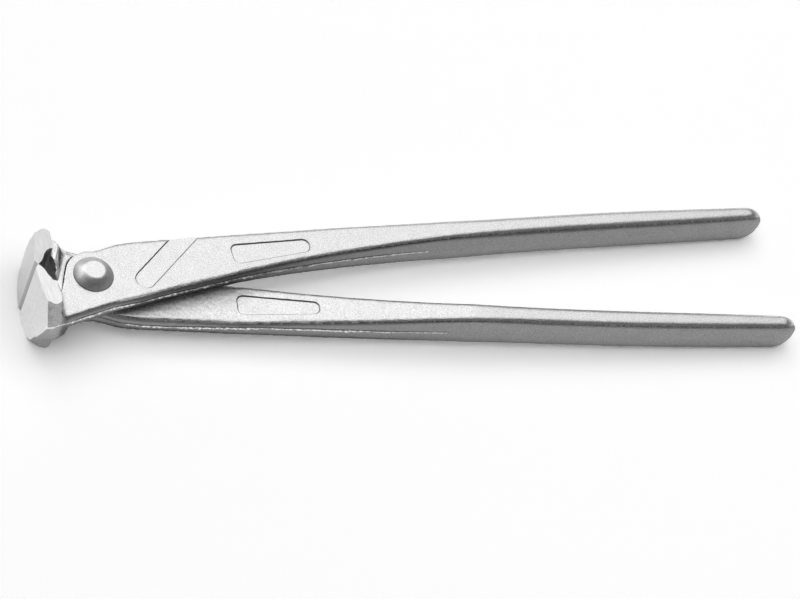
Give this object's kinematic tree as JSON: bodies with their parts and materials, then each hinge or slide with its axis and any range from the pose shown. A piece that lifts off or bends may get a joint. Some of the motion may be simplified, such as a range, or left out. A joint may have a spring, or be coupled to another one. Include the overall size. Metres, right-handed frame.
{
  "type": "rebar tying pliers",
  "caption": "End-cutting steel tying pliers: two forged halves cross in a lap joint on a rivet, with wide ground jaws and long slim handles.",
  "frame": {"origin": "under the middle of the tool as it lies on its side, level with the lowest end of the jaws", "axes": "+X along the handles away from the jaws, +Y towards the upper half's handle, +Z along the rivet, out of the upper half's face"},
  "size_m": [0.2492, 0.0482, 0.0252],
  "materials": {
    "forged_steel": "satin, shot-blasted forging with ground jaws",
    "rivet_steel": "satin"
  },
  "bodies": {
    "lower": {"lower_half": "forged_steel", "rivet": "rivet_steel"},
    "upper": {"upper_half": "forged_steel"}
  },
  "joints": [
    {"name": "rivet_pivot", "type": "hinge", "parent": "lower", "child": "upper", "pos_m": [-0.10561, 0, 0.0126], "axis": [0, 0, 1], "range_deg": [0, 38]}
  ]
}
